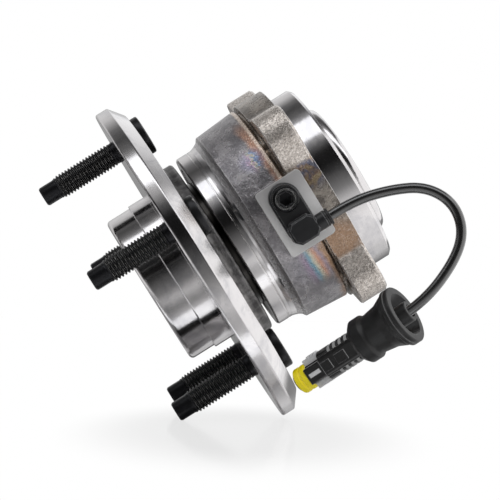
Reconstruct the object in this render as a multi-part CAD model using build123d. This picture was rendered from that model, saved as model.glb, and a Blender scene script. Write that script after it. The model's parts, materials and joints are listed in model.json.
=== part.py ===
from build123d import *
import os
from math import cos, radians, sin, sqrt, tan

# Driven wheel hub bearing with a wheel speed sensor and its short lead, in millimetres.
# The spin axis is X, +X points inboard to the vehicle and +Z is up as installed.
# The origin is on the spin axis, in the face that seats on the knuckle.
# The sensor is on the -Y side. A clock angle is 0 at -Y and 90 at +Z.

# Wheel flange and wheel pilot
flange_face_x = -76.4
flange_r = 88.4
flange_rim = 6.9
flange_thick = 12.9
flange_back_r = 80.6
flange_edge = 1.2
boss_r = 48.0
boss_end_x = -56.7
boss_round = 3.0
wheel_pilot_r = 40.2
wheel_pilot_front_x = -100.0
wheel_pilot_round = 2.2
disc_pilot_r = 41.3
disc_pilot_len = 10.0
pocket_r = 31.0
pocket_depth = 19.6
pocket_lead_in = 1.5

# Wheel studs, M12 x 1.75
stud_circle_r = 67.5
stud_count = 5
first_stud_clock = 15.0
stud_r = 6.0
stud_reach = 43.2
stud_knurl_r = 6.4
stud_point_r = 5.0
stud_point_len = 8.0
stud_chamfer = 0.9
stud_head_r = 10.25
stud_head_high = 4.5

# Ball rows
outboard_row_x = -35.4
inboard_row_x = -3.4
ball_r = 6.35
ball_count = 14
first_ball_clock = 9.0
pitch_r = 36.0
race_gap = 0.3
groove_r = ball_r + race_gap
inner_high_r = 33.4
inner_low_r = 30.0
outer_high_r = 38.6
outer_low_r = 42.0
cage_in_r = 34.4
cage_out_r = 37.6
cage_back = 7.9
cage_front = 2.8
cage_gap = 0.25

# Inboard inner ring and the formed end of the hub
journal_r = 25.0
inner_ring_start_x = -12.6
inner_ring_end_x = 14.1
collar_r = 34.6
hub_end_x = 18.5
collar_round = 3.2
end_bore_r = 18.6

# Drive spline
spline_teeth = 30
spline_minor_r = 15.5
spline_major_r = 17.0
spline_root_wide = 1.3
spline_mouth_wide = 2.0
spline_start_x = -72.4
spline_end_x = 1.6
spline_relief_r = 17.3

# Seals, as one cassette at each end
seal_sheet = 0.8
seal_seat_r = 35.4
seal_case_wide = 7.0
seal_lip_gap = 0.3
slinger_wide = 6.4
slinger_inset = 0.7

# Carrier, which is the outer ring
carrier_outboard_x = -53.9
seal_slot = 3.0
seal_wall_in_r = seal_seat_r + seal_slot
seal_depth = 5.0
seal_bore_r = seal_wall_in_r + seal_depth
seal_bore_len = 8.4
band_wall = 5.1
band_r = seal_bore_r + band_wall
band_len = 11.9
band_line_x = -47.4
band_line_wide = 0.6
band_line_deep = 0.4
band_edge = 0.8
cast_start_x = -39.4
band_step = 3.9
cast_start_r = band_r + band_step
cast_taper = 1.8
cast_end_r = cast_start_r + cast_taper
knuckle_pilot_wall = 5.2
knuckle_pilot_r = seal_bore_r + knuckle_pilot_wall
knuckle_pilot_len = 13.0
knuckle_pilot_edge = 1.4
knuckle_pilot_relief = 0.6

# Bolt lobes of the carrier, and the groove behind them where the bolts come out
lobe_thick = 14.9
lobe_hole_r = 5.1
lobe_ring_proud = 1.3
lobe_ring_r = cast_end_r + lobe_ring_proud
lobe_hole_gap = 0.7
lobe_circle_r = knuckle_pilot_r + knuckle_pilot_relief + lobe_hole_r + lobe_hole_gap
lobe_count = 4
first_lobe_clock = 32.0
lobe_r = 14.0
lobe_root_r = 46.0
lobe_hollow_round = 10.0
lobe_face_edge = 1.2
lobe_back_edge = 0.6
groove_wide = 1.9
groove_deep = 2.8
groove_floor_r = cast_end_r - groove_deep
groove_slope = 1.2

# Sensor pad, sensor and its screw, drawn at clock 0 and turned to the sensor's clock
sensor_clock = -6.0
sensor_x = -22.2
pad_proud = 2.0
pad_y = lobe_ring_r + pad_proud
pad_centre_x = -21.2
pad_long = 24.6
pad_high = 35.4
pad_corner = 2.0
pad_root_y = 44.0
sensor_centre_z = 1.2
sensor_long = 30.6
sensor_wide = 15.0
sensor_plate = 5.0
sensor_edge = 0.8
probe_z = -2.4
probe_r = 4.5
probe_bore_r = 4.7
probe_gap = 1.0
o_ring_r = 0.83
o_ring_depth = 5.0
o_ring_y = pad_y - o_ring_depth
o_ring_groove_wide = 2.0
bush_out_r = 5.3
screw_r = 4.0
screw_slack = 0.3
screw_deep = 11.0
screw_head_r = 6.5
screw_head_high = 4.8
screw_head_edge = 0.8
screw_hex = 6.0
screw_hex_deep = 3.2
outlet_long = 14.2
outlet_high = 11.6
outlet_rise = 5.4
outlet_chamfer = 2.6
outlet_centre_z = -7.9
neck_above_pad = 6.3
neck_y = pad_y + neck_above_pad
neck_z = -9.0
neck_end_x = -8.4
neck_r = 4.1
relief_r = 4.4
relief_len = 2.8
relief_ring_wide = 1.0
relief_ring_deep = 0.7

# Tone ring
tone_r = 36.5
tone_wide = 10.0
tone_teeth = 44
tone_tooth_deep = 2.4
tone_slot_wide = 2.7

# Connector and rubber boot at the end of the lead
boot_mouth = (-3.4, -68.0, -73.2)
connector_axis = Vector(-0.899, 0.4355, -0.042).normalized()
boot_mouth_r = 14.7
boot_mouth_in_r = 11.2
boot_len = 27.5
boot_band_groove = 0.7
boot_waist_r = 10.0
boot_ring_r = 11.4
boot_ring_len = 8.5
boot_pocket_deep = 13.0
boot_web = 2.0
sleeve_r = 5.2
sleeve_bore_r = 3.4
sleeve_proud = 3.0
shell_r = 7.7
shell_end = 48.0
shell_core_high = 10.5
shell_core_wide = 12.5
rib_wide = 10.0
rib_count = 4
rib_pitch = 3.4
rib_thick = 1.8
rib_block_len = 6.5
box_high = 5.0
box_rise = 0.7
nose_r = 5.2
nose_bar_end = 57.0
nose_bar_high = 8.4
nose_bar_y = 6.6
window_long = 6.5
window_high = 2.2
window_deep = 0.8
connector_len = 65.0
seal_ring_start = 57.0
seal_ring_end = 64.0
seal_ring_r = 6.5
clip_r = 7.8
clip_end = 56.8
clip_rib = 0.7
clip_lip_y = 2.0
terminal_r = 0.7
terminal_bore_r = 1.5
terminal_spacing = 4.0
terminal_deep = 9.0

# Lead, laid by hand from the sensor to the boot
lead_r = 2.5
lead_exit = Vector(neck_end_x, -neck_y, neck_z).rotate(Axis.X, -sensor_clock)
lead_in = 2.0
lead_end = Vector(*boot_mouth) + connector_axis * lead_in
lead_last_run = 13.5
lead_route = [
    tuple(lead_exit),
    (5.1, lead_exit.Y, lead_exit.Z),
    (22.2, -65.2, -20.4),
    (36.4, -67.6, -27.8),
    (43.2, -70.0, -40.6),
    (40.2, -72.4, -54.4),
    (28.8, -74.0, -64.2),
    tuple(lead_end - connector_axis * lead_last_run),
    tuple(lead_end),
]


def turned(*points):
    """A solid turned about X from (x, radius) points; a third number rounds that corner."""
    face = make_face(Polyline(*[point[:2] for point in points], close=True))
    for point in points:
        if len(point) == 3:
            corner = face.vertices().sort_by_distance((point[0], point[1], 0))[0]
            face = fillet(corner, point[2])
    return revolve(face, Axis.X)


def drum(start_x, end_x, radius):
    """A plain cylinder on the spin axis."""
    return turned((start_x, 0), (end_x, 0), (end_x, radius), (start_x, radius))


def tube(start_x, end_x, in_r, out_r):
    """A plain ring on the spin axis."""
    return turned((start_x, in_r), (end_x, in_r), (end_x, out_r), (start_x, out_r))


def clock_point(clock, radius):
    """The Y and Z of a point at a clock angle about the spin axis."""
    return -radius * cos(radians(clock)), radius * sin(radians(clock))


def rod(start_x, end_x, radius, y, z):
    """A cylinder beside the spin axis and parallel to it."""
    middle = Location(((start_x + end_x) / 2, y, z), (0, 90, 0))
    return middle * Cylinder(radius, end_x - start_x)


def race_groove(row_x):
    """The space that a ball row sweeps, with its running clearance."""
    return Location((row_x, 0, 0), (0, 90, 0)) * Torus(pitch_r, groove_r)


def sensor_side(sketch, near_y, far_y):
    """A sketch in X and Z, pushed out between two depths and turned to the sensor's clock."""
    block = extrude(Plane.XZ.offset(near_y) * sketch, amount=far_y - near_y)
    return Rot(-sensor_clock, 0, 0) * block


def side_pin(x, z, radius, near_y, far_y):
    """A cylinder square to the sensor pad."""
    return sensor_side(Pos(x, z) * Circle(radius), near_y, far_y)


stud_clocks = [first_stud_clock + step * 360 / stud_count for step in range(stud_count)]
ball_clocks = [first_ball_clock + step * 360 / ball_count for step in range(ball_count)]
lobe_clocks = [first_lobe_clock + step * 360 / lobe_count for step in range(lobe_count)]
flange_back_x = flange_face_x + flange_thick
cast_end_x = -lobe_thick - groove_wide
screw_z = sensor_centre_z + sensor_long / 2 - sensor_wide / 2


def hub_outline():
    """The hub's outer form from the wheel pilot to the formed collar."""
    return turned(
        (wheel_pilot_front_x, 0),
        (wheel_pilot_front_x, wheel_pilot_r, wheel_pilot_round),
        (flange_face_x - disc_pilot_len, wheel_pilot_r),
        (flange_face_x - disc_pilot_len, disc_pilot_r, (disc_pilot_r - wheel_pilot_r) / 2),
        (flange_face_x, disc_pilot_r),
        (flange_face_x, flange_r, flange_edge),
        (flange_face_x + flange_rim, flange_r, flange_edge),
        (flange_back_x, flange_back_r, flange_edge),
        (flange_back_x, boss_r, boss_round),
        (boss_end_x, boss_r, boss_round / 2),
        (boss_end_x, seal_seat_r),
        (outboard_row_x - cage_back - seal_sheet, seal_seat_r, seal_sheet),
        (outboard_row_x - cage_back - seal_sheet, inner_high_r),
        (outboard_row_x, inner_high_r),
        (outboard_row_x, inner_low_r),
        (inner_ring_start_x, inner_low_r, seal_sheet),
        (inner_ring_start_x, journal_r),
        (inner_ring_end_x, journal_r),
        (inner_ring_end_x, collar_r, seal_sheet),
        (hub_end_x, collar_r, collar_round),
        (hub_end_x, 0),
    )


def spline_bore():
    """The toothed bore for the drive shaft, with its reliefs and lead-ins."""
    gap = Polygon(
        (spline_minor_r - 1, -spline_mouth_wide / 2),
        (spline_major_r, -spline_root_wide / 2),
        (spline_major_r, spline_root_wide / 2),
        (spline_minor_r - 1, spline_mouth_wide / 2),
        align=None,
    )
    toothed = Circle(spline_minor_r)
    toothed += [place * gap for place in PolarLocations(0, spline_teeth)]
    bore = extrude(Plane.YZ.offset(spline_start_x) * toothed, amount=spline_end_x - spline_start_x)
    pocket_floor_x = wheel_pilot_front_x + pocket_depth
    bore += drum(pocket_floor_x, spline_start_x, spline_relief_r)
    bore += drum(spline_end_x, hub_end_x, spline_relief_r)
    mouth = hub_end_x - (end_bore_r - spline_relief_r)
    bore += turned((mouth, 0), (hub_end_x, 0), (hub_end_x, end_bore_r), (mouth, spline_relief_r))
    return bore


def make_hub():
    pocket_floor_x = wheel_pilot_front_x + pocket_depth
    hub = hub_outline() - race_groove(outboard_row_x) - spline_bore()
    hub -= turned(
        (wheel_pilot_front_x, 0),
        (wheel_pilot_front_x, pocket_r + pocket_lead_in),
        (wheel_pilot_front_x + pocket_lead_in, pocket_r),
        (pocket_floor_x, pocket_r, pocket_lead_in),
        (pocket_floor_x, 0),
    )
    for clock in stud_clocks:
        hub -= rod(flange_face_x, flange_back_x, stud_knurl_r, *clock_point(clock, stud_circle_r))
    return hub


def make_wheel_studs():
    tip_x = flange_face_x - stud_reach
    point_end_x = tip_x + stud_point_len
    head_x = flange_back_x + stud_head_high
    stud = turned(
        (tip_x, 0),
        (tip_x, stud_point_r - stud_chamfer),
        (tip_x + stud_chamfer, stud_point_r),
        (point_end_x, stud_point_r),
        (point_end_x + stud_r - stud_point_r, stud_r),
        (flange_face_x, stud_r),
        (flange_face_x, stud_knurl_r),
        (flange_back_x, stud_knurl_r),
        (flange_back_x, stud_head_r),
        (head_x, stud_head_r, stud_chamfer),
        (head_x, 0),
    )
    return [Pos(0, *clock_point(clock, stud_circle_r)) * stud for clock in stud_clocks]


def make_inner_ring():
    shoulder_x = inboard_row_x + cage_back + seal_sheet
    ring = turned(
        (inner_ring_start_x, journal_r),
        (inner_ring_start_x, inner_low_r, seal_sheet),
        (inboard_row_x, inner_low_r),
        (inboard_row_x, inner_high_r),
        (shoulder_x, inner_high_r),
        (shoulder_x, seal_seat_r, seal_sheet),
        (inner_ring_end_x, seal_seat_r, seal_sheet),
        (inner_ring_end_x, journal_r),
    )
    return ring - race_groove(inboard_row_x)


def make_tone_ring():
    blank = Circle(tone_r) - Circle(inner_low_r)
    slot = Pos(tone_r, 0) * Rectangle(2 * tone_tooth_deep, tone_slot_wide)
    blank -= [place * slot for place in PolarLocations(0, tone_teeth)]
    return extrude(Plane.YZ.offset(sensor_x - tone_wide / 2) * blank, amount=tone_wide)


def make_balls(row_x):
    ball = Location((row_x, -pitch_r, 0), (90, 0, 0)) * Sphere(ball_r)
    return [Rot(-clock, 0, 0) * ball for clock in ball_clocks]


def make_cage(row_x, back):
    """A snap cage whose closed side faces back, which is -1 outboard and 1 inboard."""
    ends = sorted((row_x + back * cage_back, row_x - back * cage_front))
    cage = tube(*ends, cage_in_r, cage_out_r)
    pocket = Location((row_x, -pitch_r, 0), (90, 0, 0)) * Sphere(ball_r + cage_gap)
    return cage - [Rot(-clock, 0, 0) * pocket for clock in ball_clocks]


def facing(mouth_x, outward, points):
    """Turned from (depth, radius) points, the depth counted inwards from a seal's mouth."""
    return turned(*[(mouth_x - outward * depth, *rest) for depth, *rest in points])


def make_seal_case(mouth_x, outward):
    """The pressed steel shell of a seal, in the carrier's bore."""
    floor = seal_case_wide + seal_sheet
    return facing(mouth_x, outward, [
        (seal_sheet, seal_bore_r),
        (seal_sheet, seal_bore_r - seal_sheet),
        (floor - seal_sheet, seal_bore_r - seal_sheet),
        (floor - seal_sheet, seal_wall_in_r),
        (floor, seal_wall_in_r),
        (floor, seal_bore_r),
    ])


def make_seal_lips(mouth_x, outward):
    """The rubber of a seal: two lips towards the slinger's flange and one to its sleeve."""
    back = seal_case_wide
    skin = back - seal_sheet
    tip = slinger_inset + seal_sheet + seal_lip_gap
    sleeve_out_r = seal_seat_r + seal_sheet
    return facing(mouth_x, outward, [
        (back, seal_bore_r - seal_sheet),
        (skin, seal_bore_r - seal_sheet),
        (skin, seal_bore_r - 2 * seal_sheet),
        (tip, seal_bore_r - 2 * seal_sheet),
        (tip, seal_bore_r - 2.6 * seal_sheet),
        (skin, seal_wall_in_r + 1.6 * seal_sheet),
        (tip, seal_wall_in_r + 2.0 * seal_sheet),
        (tip, seal_wall_in_r + 1.4 * seal_sheet),
        (skin, seal_wall_in_r + 0.4 * seal_sheet),
        (skin - 2 * seal_sheet, sleeve_out_r + seal_lip_gap),
        (skin - seal_sheet, sleeve_out_r + seal_lip_gap),
        (back, seal_wall_in_r - seal_sheet),
    ])


def make_slinger(mouth_x, outward):
    """The pressed ring that turns with the hub and closes the seal's mouth."""
    return facing(mouth_x, outward, [
        (slinger_inset, seal_seat_r),
        (slinger_inset, seal_bore_r - seal_sheet - seal_lip_gap),
        (slinger_inset + seal_sheet, seal_bore_r - seal_sheet - seal_lip_gap),
        (slinger_inset + seal_sheet, seal_seat_r + seal_sheet),
        (slinger_wide, seal_seat_r + seal_sheet),
        (slinger_wide, seal_seat_r),
    ])


def carrier_outline():
    """The carrier's turned and cast outside, without its lobes and pad."""
    band_end_x = carrier_outboard_x + band_len
    line_start_x = band_line_x - band_line_wide / 2
    line_end_x = band_line_x + band_line_wide / 2
    return turned(
        (carrier_outboard_x, 0),
        (carrier_outboard_x, band_r - band_edge),
        (carrier_outboard_x + band_edge, band_r),
        (line_start_x, band_r),
        (line_start_x, band_r - band_line_deep),
        (line_end_x, band_r - band_line_deep),
        (line_end_x, band_r),
        (band_end_x, band_r, band_edge),
        (cast_start_x, cast_start_r, band_edge),
        (cast_end_x, cast_end_r, band_edge),
        (cast_end_x + groove_slope, groove_floor_r),
        (-lobe_thick, groove_floor_r),
        (-lobe_thick, lobe_ring_r),
        (0, lobe_ring_r),
        (0, knuckle_pilot_r + knuckle_pilot_relief),
        (-knuckle_pilot_relief, knuckle_pilot_r + knuckle_pilot_relief),
        (-knuckle_pilot_relief, knuckle_pilot_r),
        (knuckle_pilot_len - knuckle_pilot_edge, knuckle_pilot_r),
        (knuckle_pilot_len, knuckle_pilot_r - knuckle_pilot_edge),
        (knuckle_pilot_len, 0),
    )


def carrier_bore():
    """The stepped bore with both outer raceways."""
    outboard_seat_x = carrier_outboard_x + seal_bore_len
    inboard_seat_x = knuckle_pilot_len - seal_bore_len
    bore = drum(carrier_outboard_x, outboard_seat_x, seal_bore_r)
    bore += drum(outboard_seat_x, outboard_row_x, outer_low_r)
    bore += drum(outboard_row_x, inboard_row_x, outer_high_r)
    bore += drum(inboard_row_x, inboard_seat_x, outer_low_r)
    bore += drum(inboard_seat_x, knuckle_pilot_len, seal_bore_r)
    return bore + race_groove(outboard_row_x) + race_groove(inboard_row_x)


def lobe_flange():
    """Blended bolt lobes around the seat face."""
    sheet = Circle(lobe_ring_r)
    for clock in lobe_clocks:
        lobe = Pos(*clock_point(clock, lobe_circle_r)) * Circle(lobe_r)
        sheet += make_hull(Circle(lobe_root_r).edges() + lobe.edges())
    hollows = [v for v in sheet.vertices() if Vector(v.X, v.Y).length < lobe_ring_r + 0.1]
    sheet = fillet(hollows, lobe_hollow_round)
    flange = extrude(Plane.YZ.offset(-lobe_thick) * sheet, amount=lobe_thick)
    flange -= drum(-lobe_thick, 0, outer_low_r)
    flange = chamfer(flange.faces().sort_by(Axis.X)[0].outer_wire().edges(), lobe_back_edge)
    return chamfer(flange.faces().sort_by(Axis.X)[-1].outer_wire().edges(), lobe_face_edge)


def make_carrier():
    pad = Pos(pad_centre_x, 0) * RectangleRounded(pad_long, pad_high, pad_corner)
    carrier = carrier_outline() + lobe_flange()
    carrier += sensor_side(pad, pad_root_y, pad_y)
    carrier -= carrier_bore()
    carrier -= side_pin(sensor_x, probe_z, probe_bore_r, 0, pad_y)
    carrier -= side_pin(sensor_x, screw_z, screw_r, pad_y - screw_deep, pad_y)
    for clock in lobe_clocks:
        carrier -= rod(cast_end_x, 0, lobe_hole_r, *clock_point(clock, lobe_circle_r))
    return carrier


def probe_tip_y():
    """Depth of the flat probe end, one air gap off the tone ring at its nearest edge."""
    nearest_z = max(0, abs(probe_z) - probe_r)
    return sqrt(tone_r ** 2 - nearest_z ** 2) + probe_gap


def make_sensor_housing():
    plate_y = pad_y + sensor_plate
    plate = Pos(sensor_x, sensor_centre_z) * SlotOverall(sensor_long, sensor_wide, rotation=90)
    housing = sensor_side(plate, pad_y, plate_y)
    housing = chamfer(housing.faces().sort_by(Axis.Y)[0].outer_wire().edges(), sensor_edge)
    outlet = Pos(sensor_x, outlet_centre_z) * Rectangle(outlet_long, outlet_high)
    outlet = chamfer(outlet.vertices(), outlet_chamfer)
    box = sensor_side(outlet, pad_y, plate_y + outlet_rise)
    box = chamfer(box.faces().sort_by(Axis.Y)[0].outer_wire().edges(), sensor_edge)
    housing += box
    housing += rod(sensor_x, lead_exit.X - relief_len, neck_r, lead_exit.Y, lead_exit.Z)
    housing += side_pin(sensor_x, probe_z, probe_r, probe_tip_y(), pad_y)
    groove_ends = (o_ring_y - o_ring_groove_wide / 2, o_ring_y + o_ring_groove_wide / 2)
    groove_floor_r = probe_bore_r - 2 * o_ring_r
    housing -= side_pin(sensor_x, probe_z, probe_bore_r, *groove_ends)
    housing += side_pin(sensor_x, probe_z, groove_floor_r, *groove_ends)
    return housing - side_pin(sensor_x, screw_z, bush_out_r, pad_y, plate_y)


def make_sensor_o_ring():
    centre = Location((sensor_x, -o_ring_y, probe_z), (90, 0, 0))
    return Rot(-sensor_clock, 0, 0) * centre * Torus(probe_bore_r - o_ring_r, o_ring_r)


def make_sensor_bush():
    plate_y = pad_y + sensor_plate
    bush = side_pin(sensor_x, screw_z, bush_out_r, pad_y, plate_y)
    return bush - side_pin(sensor_x, screw_z, screw_r + screw_slack, pad_y, plate_y)


def make_sensor_screw():
    plate_y = pad_y + sensor_plate
    top_y = plate_y + screw_head_high
    head = side_pin(sensor_x, screw_z, screw_head_r, plate_y, top_y)
    head = chamfer(head.faces().sort_by(Axis.Y)[0].edges(), screw_head_edge)
    socket = Pos(sensor_x, screw_z) * RegularPolygon(screw_hex / 2, 6, major_radius=False)
    head -= sensor_side(socket, top_y - screw_hex_deep, top_y)
    return head + side_pin(sensor_x, screw_z, screw_r, pad_y - screw_deep + 1, plate_y)


def make_strain_relief():
    """A rubber collar with two rings between the outlet's neck and the lead."""
    relief = turned(
        (-relief_len, 0),
        (-relief_len, neck_r),
        (-relief_len + relief_ring_wide, neck_r),
        (-relief_len + relief_ring_wide, relief_r - relief_ring_deep),
        (-relief_ring_wide, relief_r - relief_ring_deep),
        (-relief_ring_wide, relief_r),
        (0, relief_r, relief_ring_deep / 2),
        (0, 0),
    )
    return Pos(*lead_exit) * relief


def route_radii(points):
    """The largest tangent arc that the runs beside each corner allow."""
    spots = [Vector(*point) for point in points]
    radii = []
    for before, corner, after in zip(spots, spots[1:], spots[2:]):
        run_in = corner - before
        run_out = after - corner
        half_turn = radians(run_in.get_angle(run_out)) / 2
        radii.append(0.45 * min(run_in.length, run_out.length) / tan(half_turn))
    return radii


def make_sensor_lead():
    radii = route_radii(lead_route)
    path = FilletPolyline(*lead_route, radius=radii)
    print("lead radii", [round(radius, 1) for radius in radii], "length", round(path.length, 1))
    start = Plane(origin=path @ 0, z_dir=path % 0)
    return sweep(start * Circle(lead_r), path=path)


def on_connector(piece):
    """Puts a piece, made along X from the boot's mouth, where the connector hangs."""
    up = Vector(0, 0, 1)
    up -= connector_axis * up.dot(connector_axis)
    frame = Plane(origin=boot_mouth, x_dir=connector_axis, z_dir=up)
    return frame.location * piece


def make_cable_boot():
    """A bell-mouthed rubber grommet with a sealing ring at its narrow end."""
    waist_x = boot_len - boot_ring_len
    boot = turned(
        (0, boot_mouth_in_r),
        (0, boot_mouth_r, 0.7),
        (2.0, boot_mouth_r),
        (2.0, boot_mouth_r - boot_band_groove),
        (2.6, boot_mouth_r - boot_band_groove),
        (2.6, boot_mouth_r),
        (4.6, boot_mouth_r, 0.7),
        (4.6, boot_mouth_r - 2 * boot_band_groove),
        (6.4, boot_mouth_r - 2 * boot_band_groove),
        (11.0, boot_waist_r + 1.2, 6.0),
        (waist_x, boot_waist_r, 1.5),
        (waist_x + 1.8, boot_ring_r, 0.8),
        (boot_len - 1.8, boot_ring_r, 0.8),
        (boot_len, boot_ring_r - 1.8),
        (boot_len, shell_r),
        (boot_pocket_deep + boot_web, shell_r),
        (boot_pocket_deep + boot_web, sleeve_r),
        (boot_pocket_deep, sleeve_r),
        (boot_pocket_deep, boot_waist_r - 2.0, 1.5),
    )
    return on_connector(boot)


def make_cable_sleeve():
    """A sleeve that takes the lead's end and stands a little proud of the boot's mouth."""
    end = boot_pocket_deep + boot_web
    sleeve = turned(
        (lead_in, 0),
        (lead_in, sleeve_bore_r),
        (-sleeve_proud, sleeve_bore_r),
        (-sleeve_proud, sleeve_r, 0.6),
        (end, sleeve_r),
        (end, 0),
    )
    return on_connector(sleeve)


def grip(start_x, end_x):
    """A disc with flat sides, which stands out above and below the plug's core."""
    return drum(start_x, end_x, shell_r) & Box(4 * connector_len, rib_wide, 2 * shell_r)


def make_connector_body():
    """The plug: a flat-sided core with grip ribs, and a nose with two terminal bores."""
    start = boot_pocket_deep + boot_web
    body = drum(start, boot_len, shell_r)
    core = Box(shell_end - boot_len, shell_core_wide, shell_core_high)
    core = fillet(core.edges().filter_by(Axis.X), 2.0)
    body += Pos((shell_end + boot_len) / 2, 0, 0) * core
    block_x = shell_end - rib_block_len
    body += grip(block_x, shell_end)
    for index in range(1, rib_count + 1):
        rib_x = block_x - index * rib_pitch
        body += grip(rib_x, rib_x + rib_thick)
    for box_x, box_long in ((block_x - 5.0, 6.0), (block_x + 3.5, 5.0)):
        body += Pos(box_x, 0, 0) * Box(box_long, shell_core_wide + 2 * box_rise, box_high)
    body += drum(shell_end, connector_len, nose_r)
    bar_long = nose_bar_end - shell_end
    bar = Box(bar_long, nose_bar_y - clip_lip_y, nose_bar_high)
    bar = fillet(bar.edges().filter_by(Axis.X), 0.8)
    middle_x = shell_end + bar_long / 2
    body += Pos(middle_x, (nose_bar_y + clip_lip_y) / 2, 0) * bar
    body -= Pos(middle_x, nose_bar_y, 0) * Box(window_long, 2 * window_deep, window_high)
    for side in (-1, 1):
        y = side * terminal_spacing / 2
        body -= rod(connector_len - terminal_deep, connector_len, terminal_bore_r, y, 0)
    body = chamfer(body.faces().sort_by(Axis.X)[-1].outer_wire().edges(), 0.6)
    return on_connector(body)


def make_connector_terminals():
    pins = []
    for side in (-1, 1):
        y = side * terminal_spacing / 2
        pins.append(on_connector(
            rod(connector_len - terminal_deep, connector_len - 1, terminal_r, y, 0)))
    return pins


def make_connector_seal():
    middle = (seal_ring_start + seal_ring_end) / 2
    seal = turned(
        (seal_ring_start, nose_r),
        (seal_ring_start, seal_ring_r, 0.8),
        (middle - 0.8, seal_ring_r, 0.3),
        (middle, seal_ring_r - 0.8),
        (middle + 0.8, seal_ring_r, 0.3),
        (seal_ring_end, seal_ring_r, 0.8),
        (seal_ring_end, nose_r),
    )
    return on_connector(seal)


def make_connector_clip():
    """The grey lock, a U behind the nose bar with three finger ribs on its upper side."""
    clip = tube(shell_end, clip_end, nose_r, clip_r)
    for index in range(3):
        rib_x = shell_end + 1.0 + index * 2.0
        rib = tube(rib_x, rib_x + 1.0, clip_r, clip_r + clip_rib)
        clip += rib & Pos(0, 0, 2 * clip_r) * Box(4 * connector_len, 4 * clip_r, 3 * clip_r)
    opening = Pos(0, clip_lip_y + 2 * clip_r, 0) * Box(4 * connector_len, 4 * clip_r, 4 * clip_r)
    return on_connector(clip - opening)


pieces = {
    "carrier": make_carrier(),
    "outboard_seal_case": make_seal_case(carrier_outboard_x, -1),
    "outboard_seal_lips": make_seal_lips(carrier_outboard_x, -1),
    "inboard_seal_case": make_seal_case(knuckle_pilot_len, 1),
    "inboard_seal_lips": make_seal_lips(knuckle_pilot_len, 1),
    "sensor_housing": make_sensor_housing(),
    "sensor_o_ring": make_sensor_o_ring(),
    "sensor_bush": make_sensor_bush(),
    "sensor_screw": make_sensor_screw(),
    "strain_relief": make_strain_relief(),
    "sensor_lead": make_sensor_lead(),
    "cable_boot": make_cable_boot(),
    "cable_sleeve": make_cable_sleeve(),
    "connector_body": make_connector_body(),
    "connector_seal": make_connector_seal(),
    "connector_clip": make_connector_clip(),
    "connector_terminals": make_connector_terminals(),
    "hub": make_hub(),
    "wheel_studs": make_wheel_studs(),
    "inner_ring": make_inner_ring(),
    "tone_ring": make_tone_ring(),
    "outboard_slinger": make_slinger(carrier_outboard_x, -1),
    "inboard_slinger": make_slinger(knuckle_pilot_len, 1),
    "outboard_cage": make_cage(outboard_row_x, -1),
    "outboard_balls": make_balls(outboard_row_x),
    "inboard_cage": make_cage(inboard_row_x, 1),
    "inboard_balls": make_balls(inboard_row_x),
}

os.makedirs("parts", exist_ok=True)
for name, piece in pieces.items():
    if isinstance(piece, list):
        piece = Compound(children=piece)
    export_step(piece, f"parts/{name}.step")
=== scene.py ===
import json
import math
import bpy
from mathutils import Matrix, Vector


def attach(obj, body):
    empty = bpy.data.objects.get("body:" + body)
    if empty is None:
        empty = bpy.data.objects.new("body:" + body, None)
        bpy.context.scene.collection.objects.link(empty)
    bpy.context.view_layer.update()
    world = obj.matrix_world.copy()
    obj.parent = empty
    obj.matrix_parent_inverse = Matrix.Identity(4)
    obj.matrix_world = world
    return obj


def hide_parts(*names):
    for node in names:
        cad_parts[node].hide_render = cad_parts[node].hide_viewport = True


# Wheel hub bearing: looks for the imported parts, in metres.
# X is the spin axis, +X inboard; the photo's own up leans by the camera's roll.
# A clock angle is 0 at -Y and 90 degrees at +Z.
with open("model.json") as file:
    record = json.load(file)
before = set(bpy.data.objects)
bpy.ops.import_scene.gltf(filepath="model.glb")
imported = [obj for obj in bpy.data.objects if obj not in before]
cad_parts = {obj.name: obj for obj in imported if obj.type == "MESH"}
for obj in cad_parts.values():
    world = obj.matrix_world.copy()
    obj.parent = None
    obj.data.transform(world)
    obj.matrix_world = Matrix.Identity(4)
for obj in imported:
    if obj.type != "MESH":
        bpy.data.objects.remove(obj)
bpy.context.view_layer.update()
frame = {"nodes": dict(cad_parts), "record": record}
nodes = frame["nodes"]
mm = 0.001

# Camera and the photo's directions

camera = {
    "turn": 2.95,
    "roll": 32.11,
    "tilt": -0.51,
    "aimTurn": 0.116,
    "aimTilt": -0.733,
    "distance": 0.9664,
    "lens": 138.48,
    "filmWidth": 36.0,
    "clip": (0.01, 50.0),
    "pivot": (-0.0377, 0.0, 0.0),
}


def turnedBy(degrees, axis):
    return Matrix.Rotation(math.radians(degrees), 3, axis)


photoTurn = turnedBy(camera["turn"], "Z")
photoRoll = turnedBy(-camera["roll"], "Y")
photoTilt = turnedBy(camera["tilt"], "X")
fromPhoto = (photoTilt @ photoRoll @ photoTurn).transposed()


def photoPlace(x, y, z):
    # a point given right, away and up in the photo's frame
    return Vector(camera["pivot"]) + fromPhoto @ Vector((x, y, z))


def aimed(place, target):
    return (Vector(target) - Vector(place)).to_track_quat("-Z", "Y").to_matrix()


def makeCamera():
    data = bpy.data.cameras.new("photoCamera")
    data.lens = camera["lens"]
    data.sensor_width = camera["filmWidth"]
    data.clip_start, data.clip_end = camera["clip"]
    body = bpy.data.objects.new("photoCamera", data)
    bpy.context.scene.collection.objects.link(body)
    aim = turnedBy(camera["aimTurn"], "Z") @ turnedBy(camera["aimTilt"], "X")
    turned = (fromPhoto @ aim @ turnedBy(90, "X")).to_4x4()
    turned.translation = photoPlace(0, -camera["distance"], 0)
    body.matrix_world = turned
    bpy.context.scene.camera = body


makeCamera()
print("camera placed")

# Shader helpers


def feed(tree, socket, value):
    if isinstance(value, bpy.types.NodeSocket):
        tree.links.new(value, socket)
    else:
        socket.default_value = value


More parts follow.
